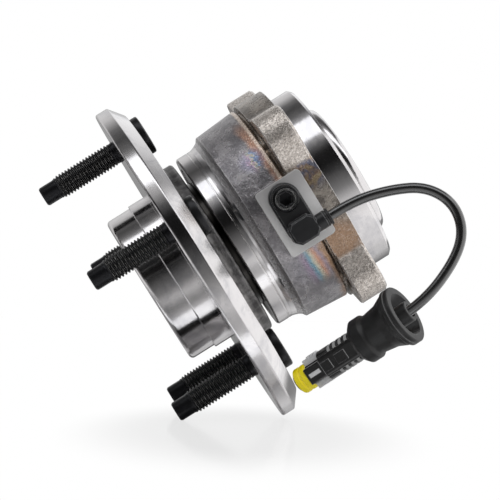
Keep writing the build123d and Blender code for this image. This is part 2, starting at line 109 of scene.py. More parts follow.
def calc(tree, operation, first, second=0.0, third=0.0, clamp=False):
    node = tree.nodes.new("ShaderNodeMath")
    node.operation = operation
    node.use_clamp = clamp
    for socket, value in zip(node.inputs, (first, second, third)):
        feed(tree, socket, value)
    return node.outputs[0]


def times(tree, first, *others):
    for other in others:
        first = calc(tree, "MULTIPLY", first, other)
    return first


def scaled(tree, value, by, plus):
    return calc(tree, "MULTIPLY_ADD", value, by, plus)


def largest(tree, first, *others):
    for other in others:
        first = calc(tree, "MAXIMUM", first, other)
    return first


def isUnder(tree, value, limit):
    return calc(tree, "LESS_THAN", value, limit)


def isOver(tree, value, limit):
    return calc(tree, "GREATER_THAN", value, limit)


def outside(tree, mask):
    return calc(tree, "SUBTRACT", 1.0, mask)


def between(tree, value, low, high):
    # rises smoothly from 0 at low to 1 at high
    node = tree.nodes.new("ShaderNodeMapRange")
    node.interpolation_type = "SMOOTHSTEP"
    feed(tree, node.inputs["Value"], value)
    node.inputs["From Min"].default_value = low
    node.inputs["From Max"].default_value = high
    return node.outputs["Result"]


def mixColor(tree, factor, first, second):
    node = tree.nodes.new("ShaderNodeMix")
    node.data_type = "RGBA"
    feed(tree, node.inputs[0], factor)
    feed(tree, node.inputs[6], first)
    feed(tree, node.inputs[7], second)
    return node.outputs[2]


def noiseOf(tree, place, scale, detail=2.0, rough=0.5, warp=0.0):
    node = tree.nodes.new("ShaderNodeTexNoise")
    feed(tree, node.inputs["Vector"], place)
    feed(tree, node.inputs["Scale"], scale)
    node.inputs["Detail"].default_value = detail
    node.inputs["Roughness"].default_value = rough
    node.inputs["Distortion"].default_value = warp
    return node.outputs["Fac"]


def rampOf(tree, factor, stops):
    node = tree.nodes.new("ShaderNodeValToRGB")
    feed(tree, node.inputs[0], factor)
    elements = node.color_ramp.elements
    while len(elements) < len(stops):
        elements.new(0.5)
    for element, (place, tone) in zip(elements, stops):
        element.position = place
        element.color = (*tone, 1.0)
    return node.outputs["Color"]


def axesOf(tree, place):
    node = tree.nodes.new("ShaderNodeSeparateXYZ")
    feed(tree, node.inputs[0], place)
    return node.outputs


def joined(tree, x, y, z):
    node = tree.nodes.new("ShaderNodeCombineXYZ")
    for socket, value in zip(node.inputs, (x, y, z)):
        feed(tree, socket, value)
    return node.outputs[0]


def radiusOf(tree, y, z):
    return calc(tree, "SQRT", calc(tree, "ADD", times(tree, y, y), times(tree, z, z)))


def partVector(tree):
    return tree.nodes.new("ShaderNodeTexCoord").outputs["Object"]


def newGroup(name, inputs, outputs):
    # takes a Vector and the numbers in inputs, and puts out numbers that change over the surface
    tree = bpy.data.node_groups.new(name, "ShaderNodeTree")
    tree.interface.new_socket(name="Vector", in_out="INPUT", socket_type="NodeSocketVector")
    for label, value in inputs.items():
        socket = tree.interface.new_socket(name=label, in_out="INPUT", socket_type="NodeSocketFloat")
        socket.default_value = value
    for label in outputs:
        tree.interface.new_socket(name=label, in_out="OUTPUT", socket_type="NodeSocketFloat")
    return tree, tree.nodes.new("NodeGroupInput").outputs, tree.nodes.new("NodeGroupOutput").inputs


def placed(tree, group, **values):
    node = tree.nodes.new("ShaderNodeGroup")
    node.node_tree = group
    for label, value in values.items():
        feed(tree, node.inputs[label], value)
    return node.outputs


bevelSamples = 4

lathe = {
    "broadScale": 0.08,
    "broadShare": 0.6,
}


def makeLatheLines():
    # fine tool lines round the spin axis
    tree, given, out = newGroup("latheLines", {"Fineness": 2500.0}, ["Height", "Streak"])
    x, y, z = axesOf(tree, given["Vector"])
    along = times(tree, x, given["Fineness"])
    outward = times(tree, radiusOf(tree, y, z), given["Fineness"])
    place = joined(tree, along, outward, 0.0)
    line = noiseOf(tree, place, 1.0, detail=3.0, rough=0.6)
    broad = noiseOf(tree, place, lathe["broadScale"])
    share = lathe["broadShare"]
    feed(tree, out["Height"], line)
    feed(tree, out["Streak"], scaled(tree, broad, share, times(tree, line, 1 - share)))
    return tree


forge = {
    "lumpScale": 0.22,
    "lumpHeight": 0.7,
    "fineHeight": 0.5,
    "mottleScale": 130.0,
    "mottleRange": (0.35, 0.68),
    "speckRange": (0.52, 0.70),
    "pitRange": (0.48, 0.34),
}


def makeForgeGrain():
    # the skin of a shot-blasted forging: grains, shallow pits and larger mottling
    tree, given, out = newGroup("forgeGrain", {"Grain": 1400.0}, ["Height", "Mottle", "Speck", "Pit"])
    place = given["Vector"]
    fine = noiseOf(tree, place, given["Grain"], detail=3.0, rough=0.65)
    lumps = noiseOf(tree, place, times(tree, given["Grain"], forge["lumpScale"]))
    mottle = noiseOf(tree, place, forge["mottleScale"], detail=3.0, rough=0.6, warp=0.4)
    fineHeight = times(tree, fine, forge["fineHeight"])
    feed(tree, out["Height"], scaled(tree, lumps, forge["lumpHeight"], fineHeight))
    feed(tree, out["Mottle"], between(tree, mottle, *forge["mottleRange"]))
    feed(tree, out["Speck"], between(tree, fine, *forge["speckRange"]))
    feed(tree, out["Pit"], between(tree, fine, *forge["pitRange"]))
    return tree


clouds = {
    "broadScale": 36.0,
    "smallScale": 170.0,
    "broadShare": 0.7,
    "range": (0.46, 0.62),
}


def makeSteelClouds():
    # dull, bluish stains that oil and hands leave on bare steel
    tree, given, out = newGroup("steelClouds", {}, ["Cloud"])
    broad = noiseOf(tree, given["Vector"], clouds["broadScale"], detail=4.0, rough=0.62, warp=0.9)
    small = noiseOf(tree, given["Vector"], clouds["smallScale"], detail=3.0, rough=0.6, warp=0.5)
    share = clouds["broadShare"]
    both = scaled(tree, broad, share, times(tree, small, 1 - share))
    feed(tree, out["Cloud"], between(tree, both, *clouds["range"]))
    return tree


rubbingAndHighlight = {
    "bendRange": (0.02, 0.16),
    "strength": 1.6,
}


def makeEdgeWearAndHighlight():
    # 1 on sharp outer edges, broken up by noise: rubbed-bare wear on the metals, a painted highlight on
    # the mouldings
    tree, given, out = newGroup("edgeWearAndHighlight", {"Radius": 0.0005, "Breakup": 900.0}, ["Mask"])
    bevel = tree.nodes.new("ShaderNodeBevel")
    bevel.samples = bevelSamples
    feed(tree, bevel.inputs["Radius"], given["Radius"])
    plain = tree.nodes.new("ShaderNodeNewGeometry")
    dot = tree.nodes.new("ShaderNodeVectorMath")
    dot.operation = "DOT_PRODUCT"
    feed(tree, dot.inputs[0], bevel.outputs["Normal"])
    feed(tree, dot.inputs[1], plain.outputs["Normal"])
    bend = outside(tree, dot.outputs["Value"])
    broken = noiseOf(tree, given["Vector"], given["Breakup"], rough=0.7)
    worn = times(tree, between(tree, bend, *rubbingAndHighlight["bendRange"]), broken)
    feed(tree, out["Mask"], calc(tree, "MULTIPLY", worn, rubbingAndHighlight["strength"], clamp=True))
    return tree


hands = {
    "dustScale": 60.0,
    "dustRange": (0.6, 0.8),
}


def makeHandling():
    # soft smears and fine dust that change the gloss
    tree, given, out = newGroup("handling", {"Size": 60.0}, ["Smear", "Dust"])
    smear = noiseOf(tree, given["Vector"], given["Size"], detail=4.0, rough=0.6, warp=0.8)
    dust = noiseOf(tree, given["Vector"], times(tree, given["Size"], hands["dustScale"]), rough=0.8)
    feed(tree, out["Smear"], smear)
    feed(tree, out["Dust"], between(tree, dust, *hands["dustRange"]))
    return tree


mould = {
    "waveScale": 0.03,
    "waveHeight": 1.5,
    "fleckRange": (0.45, 0.75),
}


def makeMouldSkin():
    # fine spark-eroded grain of a plastic or rubber moulding
    tree, given, out = newGroup("mouldSkin", {"Grain": 3500.0}, ["Height", "Fleck"])
    grain = noiseOf(tree, given["Vector"], given["Grain"], rough=0.6)
    wave = noiseOf(tree, given["Vector"], times(tree, given["Grain"], mould["waveScale"]))
    feed(tree, out["Height"], scaled(tree, wave, mould["waveHeight"], grain))
    feed(tree, out["Fleck"], between(tree, grain, *mould["fleckRange"]))
    return tree


latheLines = makeLatheLines()
forgeGrain = makeForgeGrain()
steelClouds = makeSteelClouds()
edgeWearAndHighlight = makeEdgeWearAndHighlight()
handling = makeHandling()
mouldSkin = makeMouldSkin()
print("shader groups built")


def newFinish(name, **values):
    material = bpy.data.materials.new(name)
    material.use_nodes = True
    tree = material.node_tree
    shader = tree.nodes["Principled BSDF"]
    for label, value in values.items():
        shader.inputs[label.replace("_", " ")].default_value = value
    return material, tree, shader


def bumped(tree, shader, height, strength, distance, edge=0.0):
    # edge rounds the sharp edges in the shading by that radius
    bump = tree.nodes.new("ShaderNodeBump")
    if edge:
        rounded = tree.nodes.new("ShaderNodeBevel")
        rounded.samples = bevelSamples
        rounded.inputs["Radius"].default_value = edge
        feed(tree, bump.inputs["Normal"], rounded.outputs["Normal"])
    bump.inputs["Strength"].default_value = strength
    bump.inputs["Distance"].default_value = distance
    feed(tree, bump.inputs["Height"], height)
    feed(tree, shader.inputs["Normal"], bump.outputs["Normal"])


def over(tree, skin, tone, mask, strength=1.0):
    # lays a tone on the skin where the mask is
    return mixColor(tree, times(tree, mask, strength), skin, tone)


# Turned and ground steels

turnedSteel = {
    "bright": (0.72, 0.703, 0.705, 1.0),
    "dull": (0.60, 0.580, 0.584, 1.0),
    "stained": (0.40, 0.395, 0.42, 1.0),
    "stain": 0.5,
    "smearShare": 0.6,
    "lineBump": 0.25,
    "lineDepth": 0.03 * mm,
}


def turnedColor(tree, place, lines):
    # bright and dull streaks under the stains
    steel = mixColor(tree, lines["Streak"], turnedSteel["dull"], turnedSteel["bright"])
    cloud = placed(tree, steelClouds, Vector=place)["Cloud"]
    return over(tree, steel, turnedSteel["stained"], cloud, turnedSteel["stain"])


def makeTurnedFinish(name, bright, dull, rough, fineness=2500.0):
    material, tree, shader = newFinish(name, Metallic=1.0)
    place = partVector(tree)
    lines = placed(tree, latheLines, Vector=place, Fineness=fineness)
    worn = placed(tree, handling, Vector=place)
    feed(tree, shader.inputs["Base Color"], mixColor(tree, lines["Streak"], dull, bright))
    share = turnedSteel["smearShare"]
    gloss = scaled(tree, worn["Smear"], share, times(tree, lines["Streak"], 1 - share))
    low, high = rough
    feed(tree, shader.inputs["Roughness"], scaled(tree, gloss, high - low, low))
    bumped(tree, shader, lines["Height"], turnedSteel["lineBump"], turnedSteel["lineDepth"])
    return material


# Carrier: blasted casting with heat tints, machined band, pad, seat and pilot

carrier = {
    # where the machined faces lie
    "bandStart": -53.6 * mm,
    "bandEnd": -42.9 * mm,
    "filletEnd": -38.6 * mm,
    "filletFade": 1.6 * mm,
    "pilotStart": 0.3 * mm,
    "seatStart": -0.15 * mm,
    "boreRadius": 44.2 * mm,
    "padClock": 6.0,
    "padFace": -57.3 * mm,
    "padEnd": -8.0 * mm,
    "padHalfHigh": 26 * mm,
    "grooveStart": -17.2 * mm,
    "grooveFade": (-0.2 * mm, 0.4 * mm),
    "lobeStart": -14.9 * mm,
    "lobeFade": (-0.3 * mm, 0.1 * mm),
    "ringRadius": 55.6 * mm,
    "ringFade": (0.4 * mm, 1.6 * mm),
    # the casting, with tones that come and go along X and by the clock in radians
    "driftScale": 70.0,
    "charcoal": ((0.21, 0.20, 0.213, 1), (0.41, 0.39, 0.405, 1)),
    "driftX": 7 * mm,
    "slantX": 3 * mm,
    "warmX": (-18.4 * mm, -15.0 * mm),
    "warmStart": (0.02, 0.22),
    "warmEnd": (1.10, 0.80),
    "warmTones": ((0.46, 0.265, 0.19, 1), (0.92, 0.66, 0.51, 1)),
    "lowX": (-17.5 * mm, -13.5 * mm),
    "lowClock": (0.1, -0.4),
    "lowTone": (0.33, 0.20, 0.125, 1),
    "creamX": (-19.4 * mm, -18.2 * mm),
    "creamClock": (-0.1, 0.25),
    "creamTone": (0.90, 0.76, 0.64, 1),
    "creamStrength": 0.8,
    # a lighter groove tone: painted light that lifts the shaded groove
    "grooveLightTone": (0.30, 0.225, 0.165, 1),
    # a pale tone on the fillet's cone: painted light
    "filletLightTone": (0.66, 0.645, 0.65, 1),
    "filletStrength": 0.7,
    "pitTone": (0.05, 0.045, 0.045, 1),
    "pitStrength": 0.45,
    "speckTone": (0.72, 0.70, 0.70, 1),
    "speckStrength": 0.35,
    # small patches of temper colours, each with a core that is full strength
    "patchCore": 0.35,
    "fleckPlace": (-24.6 * mm, -46.3 * mm, 26.5 * mm),
    "fleckSize": 8.5 * mm,
    "fleckSpan": 11 * mm,
    "fleckShift": 2.2,
    "fleckScale": 420.0,
    "fleckStrength": 0.6,
    "fleckTones": [
        (0.20, (0.34, 0.32, 0.46)),
        (0.40, (0.62, 0.44, 0.62)),
        (0.52, (0.66, 0.62, 0.46)),
        (0.64, (0.20, 0.40, 0.72)),
        (0.80, (0.13, 0.15, 0.30)),
    ],
    "streakPlace": (-24.5 * mm, -42.7 * mm, -32.2 * mm),
    "streakSize": 15.0 * mm,
    "streakStart": -32 * mm,
    "streakSpan": 15 * mm,
    "streakWander": 4 * mm,
    "streakStrength": 0.9,
    "streakTones": [
        (0.05, (0.25, 0.24, 0.27)),
        (0.26, (0.33, 0.25, 0.35)),
        (0.40, (0.16, 0.36, 0.46)),
        (0.50, (0.62, 0.57, 0.44)),
        (0.62, (0.66, 0.34, 0.22)),
        (0.76, (0.38, 0.30, 0.36)),
        (0.88, (0.46, 0.27, 0.15)),
        (1.00, (0.20, 0.13, 0.085)),
    ],
    # the ring and the bolt ears
    "ringTones": ((0.18, 0.158, 0.14, 1), (0.42, 0.375, 0.33, 1)),
    "earTones": ((0.44, 0.395, 0.355, 1), (0.80, 0.735, 0.68, 1)),
    "earRange": (0.34, 0.68),
    "earScale": 900.0,
    "goldPlace": (-4.0 * mm, -54.5 * mm, 9.0 * mm),
    "goldSize": 13 * mm,
    "goldScale": 210.0,
    "goldStrength": 0.75,
    "goldTones": [
        (0.38, (0.46, 0.33, 0.17)),
        (0.48, (0.33, 0.22, 0.17)),
        (0.58, (0.12, 0.14, 0.24)),
    ],
    "rustPlace": (-9.0 * mm, -47.0 * mm, -29.0 * mm),
    "rustSize": 16 * mm,
    "rustTone": (0.34, 0.20, 0.115, 1),
    "rustStrength": 0.8,
    # machined faces; the seal slot's face is painted near-black as painted shade, the pad near-white as a
    # painted reflection with painted shade towards its top
    "slotShadeTone": (0.05, 0.048, 0.046, 1),
    "padReflectionTones": ((0.90, 0.885, 0.875, 1), (1.0, 0.99, 0.985, 1)),
    "padShade": (-12 * mm, 12 * mm),
    "padShadeTone": (0.44, 0.43, 0.43, 1),
    "millLines": (3000.0, 260.0),
    "rubbedTone": (0.92, 0.90, 0.885, 1),
    # metal and gloss: what changes over a face, and the least of it
    "skinMetal": 0.75,
    "skinRough": (0.10, 0.20),
    "steelRough": (0.12, 0.06),
    "padRough": (0.15, 0.34),
    "lineHeight": 0.03,
    "bump": 0.9,
    "bumpDepth": 0.55 * mm,
    "softEdge": 0.4 * mm,
}


def nearTo(tree, place, centre, size):
    # 1 at the centre, falling to 0 at size from it
    gap = tree.nodes.new("ShaderNodeVectorMath")
    gap.operation = "DISTANCE"
    feed(tree, gap.inputs[0], place)
    gap.inputs[1].default_value = centre
    return between(tree, gap.outputs["Value"], size, size * carrier["patchCore"])


def fadeFrom(tree, value, start, fade):
    return between(tree, value, start + fade[0], start + fade[1])


def castSkin(tree, place, x, clock, grain):
    # charcoal casting, warm towards the groove, with two patches of temper colours
    drift = noiseOf(tree, place, carrier["driftScale"], detail=3.0, rough=0.6, warp=0.6)
    wander = scaled(tree, drift, carrier["driftX"], x)
    slanted = scaled(tree, clock, carrier["slantX"], wander)
    warm = times(tree, between(tree, slanted, *carrier["warmX"]),
                 between(tree, clock, *carrier["warmStart"]), between(tree, clock, *carrier["warmEnd"]))
    low = times(tree, between(tree, wander, *carrier["lowX"]), between(tree, clock, *carrier["lowClock"]))
    cream = times(tree, between(tree, x, *carrier["creamX"]), between(tree, clock, *carrier["creamClock"]))
    skin = mixColor(tree, grain["Mottle"], *carrier["charcoal"])
    skin = over(tree, skin, mixColor(tree, grain["Speck"], *carrier["warmTones"]), warm)
    skin = over(tree, skin, carrier["lowTone"], low)
    skin = over(tree, skin, carrier["creamTone"], cream, carrier["creamStrength"])

    fleck = nearTo(tree, place, carrier["fleckPlace"], carrier["fleckSize"])
    hue = noiseOf(tree, place, carrier["fleckScale"], rough=0.6, warp=0.3)
    hue = calc(tree, "ADD", hue, carrier["fleckShift"])
    tones = rampOf(tree, scaled(tree, x, 1 / carrier["fleckSpan"], hue), carrier["fleckTones"])
    skin = over(tree, skin, tones, fleck, carrier["fleckStrength"])

    streak = nearTo(tree, place, carrier["streakPlace"], carrier["streakSize"])
    across = scaled(tree, drift, carrier["streakWander"], scaled(tree, clock, carrier["slantX"], x))
    span = carrier["streakSpan"]
    along = calc(tree, "MULTIPLY_ADD", across, 1 / span, -carrier["streakStart"] / span, clamp=True)
    tones = rampOf(tree, along, carrier["streakTones"])
    return over(tree, skin, tones, streak, carrier["streakStrength"])


def earSkin(tree, place, radius, grain):
    # the dark ring with gold and rust on it, and the pale scaly ears that stand proud of it
    ring = mixColor(tree, grain["Mottle"], *carrier["ringTones"])
    gold = nearTo(tree, place, carrier["goldPlace"], carrier["goldSize"])
    temper = rampOf(tree, noiseOf(tree, place, carrier["goldScale"], warp=0.4), carrier["goldTones"])
    ring = over(tree, ring, temper, gold, carrier["goldStrength"])
    rust = nearTo(tree, place, carrier["rustPlace"], carrier["rustSize"])
    ring = over(tree, ring, carrier["rustTone"], rust, carrier["rustStrength"])
    scale = noiseOf(tree, place, carrier["earScale"], detail=3.0, rough=0.65)
    speckled = between(tree, scale, *carrier["earRange"])
    proud = fadeFrom(tree, radius, carrier["ringRadius"], carrier["ringFade"])
    return mixColor(tree, proud, ring, mixColor(tree, speckled, *carrier["earTones"]))


def carrierSkin(tree, place, x, y, z, radius, grain):
    clock = calc(tree, "ARCTAN2", z, times(tree, y, -1.0))
    skin = castSkin(tree, place, x, clock, grain)
    # the groove is lifted to a lighter brown: painted light in a shaded slot
    groove = fadeFrom(tree, x, carrier["grooveStart"], carrier["grooveFade"])
    skin = over(tree, skin, carrier["grooveLightTone"], groove)
    onLobe = fadeFrom(tree, x, carrier["lobeStart"], carrier["lobeFade"])
    skin = over(tree, skin, earSkin(tree, place, radius, grain), onLobe)
    # the fillet's cone is lightened towards pale grey: painted light
    filletLit = between(tree, x, carrier["filletEnd"], carrier["filletEnd"] - carrier["filletFade"])
    skin = over(tree, skin, carrier["filletLightTone"], filletLit, carrier["filletStrength"])
    skin = over(tree, skin, carrier["pitTone"], grain["Pit"], carrier["pitStrength"])
    return over(tree, skin, carrier["speckTone"], grain["Speck"], carrier["speckStrength"])


def padMask(tree, x, y, z):
    # the milled pad, square to the sensor's tilted clock
    lean = math.radians(carrier["padClock"])
    outward = scaled(tree, z, math.sin(lean), times(tree, y, math.cos(lean)))
    high = calc(tree, "ABSOLUTE", z)
    return times(tree, isUnder(tree, outward, carrier["padFace"]), isUnder(tree, x, carrier["padEnd"]),
                 isUnder(tree, high, carrier["padHalfHigh"]))


def machinedSkin(tree, place, x, z, lines, padHere):
    steel = turnedColor(tree, place, lines)
    # the seal slot's face below the band is painted near-black: painted shade
    steel = mixColor(tree, isUnder(tree, x, carrier["bandStart"]), steel, carrier["slotShadeTone"])
    alongX, alongZ = carrier["millLines"]
    milled = noiseOf(tree, joined(tree, times(tree, x, alongX), times(tree, z, alongZ), 0.0), 1.0)
    # the pad is painted near-white as a non-metal: a painted reflection of the white floor, with painted
    # shade towards its top
    pad = mixColor(tree, milled, *carrier["padReflectionTones"])
    pad = mixColor(tree, between(tree, z, *carrier["padShade"]), pad, carrier["padShadeTone"])
    return mixColor(tree, padHere, steel, pad)


def makeCarrierFinish():
    material, tree, shader = newFinish("carrierForging")
    place = partVector(tree)
    x, y, z = axesOf(tree, place)
    radius = radiusOf(tree, y, z)
    grain = placed(tree, forgeGrain, Vector=place, Grain=1500.0)
    lines = placed(tree, latheLines, Vector=place, Fineness=2600.0)
    smear = placed(tree, handling, Vector=place, Size=70.0)["Smear"]
    rubbed = placed(tree, edgeWearAndHighlight, Vector=place, Radius=0.6 * mm, Breakup=500.0)["Mask"]

    padHere = padMask(tree, x, y, z)
    turned = largest(tree, isUnder(tree, x, carrier["bandEnd"]), isOver(tree, x, carrier["pilotStart"]),
                     isUnder(tree, radius, carrier["boreRadius"]), isOver(tree, x, carrier["seatStart"]))
    machined = largest(tree, turned, padHere)
    skin = carrierSkin(tree, place, x, y, z, radius, grain)
    shade = mixColor(tree, machined, skin, machinedSkin(tree, place, x, z, lines, padHere))
    feed(tree, shader.inputs["Base Color"], mixColor(tree, rubbed, shade, carrier["rubbedTone"]))
    metal = scaled(tree, machined, 1 - carrier["skinMetal"], carrier["skinMetal"])
    feed(tree, shader.inputs["Metallic"], calc(tree, "SUBTRACT", metal, padHere))

    roughSkin = scaled(tree, grain["Mottle"], *carrier["skinRough"])
    roughSteel = scaled(tree, smear, *carrier["steelRough"])
    roughPad = scaled(tree, smear, *carrier["padRough"])
    rough = times(tree, roughSkin, outside(tree, machined))
    rough = scaled(tree, roughSteel, calc(tree, "SUBTRACT", machined, padHere), rough)
    feed(tree, shader.inputs["Roughness"], scaled(tree, roughPad, padHere, rough))

    inGroove = times(tree, isOver(tree, x, carrier["grooveStart"]), isUnder(tree, x, carrier["lobeStart"]))
    smooth = largest(tree, machined, inGroove)
    low = times(tree, lines["Height"], carrier["lineHeight"], machined)
    high = times(tree, grain["Height"], outside(tree, smooth))
    height = calc(tree, "ADD", low, high)
    bumped(tree, shader, height, carrier["bump"], carrier["bumpDepth"], carrier["softEdge"])
    return material


# Hub: turned all over, but a black forged boss behind the flange

hub = {
    "forgedStart": -63.7 * mm,
    "forgedEnd": -56.3 * mm,
    "forgedRadius": 79.5 * mm,
    "forgedTones": ((0.07, 0.067, 0.068, 1), (0.25, 0.24, 0.238, 1)),
    "forgedMetal": 0.8,
    "forgedRough": 0.36,
    # painted shade in the gap between the boss and the carrier
    "gapRadius": 47.3 * mm,
    "gapStart": -57.2 * mm,
    "gapEnd": -50.0 * mm,
    "gapShadeTone": (0.03, 0.028, 0.026, 1),
    "steelRough": (0.14, 0.07),
    "lineHeight": 0.04,
    "bump": 0.9,
    "bumpDepth": 0.45 * mm,
    "softEdge": 0.4 * mm,
}


def makeHubFinish():
    material, tree, shader = newFinish("hubForging")
    place = partVector(tree)
    x, y, z = axesOf(tree, place)
    radius = radiusOf(tree, y, z)
    lines = placed(tree, latheLines, Vector=place, Fineness=2400.0)
    grain = placed(tree, forgeGrain, Vector=place, Grain=1700.0)
    smear = placed(tree, handling, Vector=place, Size=45.0)["Smear"]
    forged = times(tree, isOver(tree, x, hub["forgedStart"]), isUnder(tree, x, hub["forgedEnd"]),
                   isUnder(tree, radius, hub["forgedRadius"]))
    # the hub inside the gap under the carrier is painted near-black: painted shade
    gapShade = times(tree, isOver(tree, x, hub["gapStart"]), isUnder(tree, x, hub["gapEnd"]),
                 isUnder(tree, radius, hub["gapRadius"]))
    skin = mixColor(tree, grain["Mottle"], *hub["forgedTones"])
    shade = mixColor(tree, forged, turnedColor(tree, place, lines), skin)
    feed(tree, shader.inputs["Base Color"], mixColor(tree, gapShade, shade, hub["gapShadeTone"]))
    feed(tree, shader.inputs["Metallic"], scaled(tree, forged, hub["forgedMetal"] - 1, 1.0))
    steelRough = scaled(tree, smear, *hub["steelRough"])
    rougher = calc(tree, "SUBTRACT", hub["forgedRough"], steelRough)
    feed(tree, shader.inputs["Roughness"], scaled(tree, forged, rougher, steelRough))
    low = times(tree, lines["Height"], hub["lineHeight"], outside(tree, forged))
    high = times(tree, grain["Height"], forged)
    height = calc(tree, "ADD", low, high)
    bumped(tree, shader, height, hub["bump"], hub["bumpDepth"], hub["softEdge"])
    return material


# Black studs and screw, with bare steel where the edges rub

blacked = {
    "metal": 0.75,
    "fleckLight": 1.9,
    "crestFade": 0.04,
    "roughSpread": 0.2,
    "bump": 0.3,
    "bumpDepth": 0.04 * mm,
    "softEdge": 0.25 * mm,
}


def makeBlackedFinish(name, dark, bare, wearRadius, rough, crest=2.0):
    # the mesh's own sharp crests, over the crest value, are rubbed bare as well as the edges
    material, tree, shader = newFinish(name, Metallic=blacked["metal"])
    place = partVector(tree)
    worn = placed(tree, edgeWearAndHighlight, Vector=place, Radius=wearRadius)["Mask"]
    pointed = tree.nodes.new("ShaderNodeNewGeometry").outputs["Pointiness"]
    worn = largest(tree, worn, between(tree, pointed, crest, crest + blacked["crestFade"]))
    skin = placed(tree, mouldSkin, Vector=place, Grain=2600.0)
    light = tuple(c * blacked["fleckLight"] for c in dark[:3]) + (1.0,)
    base = mixColor(tree, skin["Fleck"], dark, light)
    feed(tree, shader.inputs["Base Color"], mixColor(tree, worn, base, bare))
    smear = placed(tree, handling, Vector=place, Size=120.0)["Smear"]
    feed(tree, shader.inputs["Roughness"], scaled(tree, smear, blacked["roughSpread"], rough))
    bumped(tree, shader, skin["Height"], blacked["bump"], blacked["bumpDepth"], blacked["softEdge"])
    return material


# Plastics and rubbers

moulded = {
    "smearTone": 0.6,
    "dust": 0.12,
    "dustTone": (0.5, 0.49, 0.47, 1),
    "edgeHighlightTone": (0.42, 0.42, 0.43, 1),
    "coatRough": 0.1,
    "roughSpread": 0.22,
    "bump": 0.5,
    "softEdge": 0.3 * mm,
}


def makeMouldedFinish(name, base, light, rough, grain, depth, specular=0.5, edge=0.0, glow=0.0, coat=0.0):
    # edge is how strongly a painted highlight lightens the sharp edges; glow is painted light, an emission
    # in the base colour
    material, tree, shader = newFinish(
        name, Specular_IOR_Level=specular, Coat_Weight=coat, Coat_Roughness=moulded["coatRough"])
    place = partVector(tree)
    skin = placed(tree, mouldSkin, Vector=place, Grain=grain)
    worn = placed(tree, handling, Vector=place, Size=90.0)
    shade = over(tree, base, light, worn["Smear"], moulded["smearTone"])
    shade = over(tree, shade, moulded["dustTone"], worn["Dust"], moulded["dust"])
    # painted highlight: the sharp edges are lightened towards a pale grey
    if edge:
        lit = placed(tree, edgeWearAndHighlight, Vector=place, Radius=0.5 * mm)["Mask"]
        shade = over(tree, shade, moulded["edgeHighlightTone"], lit, edge)
    feed(tree, shader.inputs["Base Color"], shade)
    # painted light: the part glows faintly in its own colour, though it is no lamp
    if glow:
        shader.inputs["Emission Color"].default_value = base
        shader.inputs["Emission Strength"].default_value = glow
    feed(tree, shader.inputs["Roughness"], scaled(tree, worn["Smear"], moulded["roughSpread"], rough))
    bumped(tree, shader, skin["Height"], moulded["bump"], depth, moulded["softEdge"])
    return material


finishes = {
    "carrier_steel": makeCarrierFinish(),
    "hub_steel": makeHubFinish(),
    "stud_black": makeBlackedFinish(
        "studBlack", (0.014, 0.014, 0.016, 1), (0.46, 0.45, 0.43, 1),
        wearRadius=0.35 * mm, rough=0.26, crest=0.545),
    "race_steel": makeTurnedFinish(
        "raceSteel", (0.70, 0.69, 0.68, 1), (0.58, 0.57, 0.56, 1), rough=(0.08, 0.22), fineness=4000.0),
    "ball_steel": makeTurnedFinish(
        "ballSteel", (0.80, 0.80, 0.80, 1), (0.74, 0.74, 0.74, 1), rough=(0.03, 0.09), fineness=900.0),
    "cage_plastic": makeMouldedFinish(
        "cagePlastic", (0.62, 0.55, 0.40, 1), (0.72, 0.66, 0.52, 1),
        rough=0.4, grain=2500.0, depth=0.04 * mm),
    "seal_steel": makeTurnedFinish(
        "sealSteel", (0.62, 0.61, 0.60, 1), (0.50, 0.49, 0.48, 1), rough=(0.16, 0.34)),
    "seal_rubber": makeMouldedFinish(
        "sealRubber", (0.02, 0.02, 0.02, 1), (0.045, 0.045, 0.045, 1),
        rough=0.5, grain=2500.0, depth=0.05 * mm),
    "tone_steel": makeTurnedFinish(
        "toneSteel", (0.45, 0.44, 0.43, 1), (0.34, 0.33, 0.32, 1), rough=(0.3, 0.5)),
    "sensor_plastic": makeMouldedFinish(
        "sensorPlastic", (0.007, 0.007, 0.008, 1), (0.028, 0.028, 0.031, 1),
        rough=0.26, grain=3800.0, depth=0.03 * mm, specular=0.4, edge=1.0),
    "screw_black": makeBlackedFinish(
        "screwBlack", (0.006, 0.006, 0.007, 1), (0.75, 0.74, 0.73, 1), wearRadius=0.22 * mm, rough=0.22),
    "bush_steel": makeTurnedFinish(
        "bushSteel", (0.55, 0.54, 0.52, 1), (0.42, 0.41, 0.40, 1), rough=(0.2, 0.4)),
    "o_ring_rubber": makeMouldedFinish(
        "oRingRubber", (0.03, 0.03, 0.03, 1), (0.05, 0.05, 0.05, 1),
        rough=0.4, grain=2500.0, depth=0.03 * mm),
    "lead_sheath": makeMouldedFinish(
        "leadSheath", (0.005, 0.005, 0.005, 1), (0.016, 0.015, 0.015, 1),
        rough=0.14, grain=2200.0, depth=0.04 * mm, specular=1.0, coat=1.0),
    "boot_rubber": makeMouldedFinish(
        "bootRubber", (0.006, 0.006, 0.006, 1), (0.024, 0.023, 0.024, 1),
        rough=0.34, grain=2600.0, depth=0.07 * mm, specular=0.45, edge=0.35),
    "plug_plastic": makeMouldedFinish(
        "plugPlastic", (0.003, 0.003, 0.003, 1), (0.014, 0.013, 0.013, 1),
        rough=0.2, grain=3600.0, depth=0.03 * mm, edge=0.35, coat=0.4),
    # the yellow seal has a faint painted glow
    "plug_seal": makeMouldedFinish(
        "plugSeal", (0.95, 0.77, 0.004, 1), (1.0, 0.88, 0.03, 1),
        rough=0.28, grain=2200.0, depth=0.03 * mm, glow=0.10),
    "plug_clip": makeMouldedFinish(
        "plugClip", (0.76, 0.76, 0.77, 1), (0.88, 0.88, 0.88, 1),
        rough=0.25, grain=3000.0, depth=0.03 * mm),
    "terminal_metal": makeTurnedFinish(
        "terminalMetal", (0.75, 0.66, 0.42, 1), (0.66, 0.57, 0.36, 1), rough=(0.15, 0.3)),
}

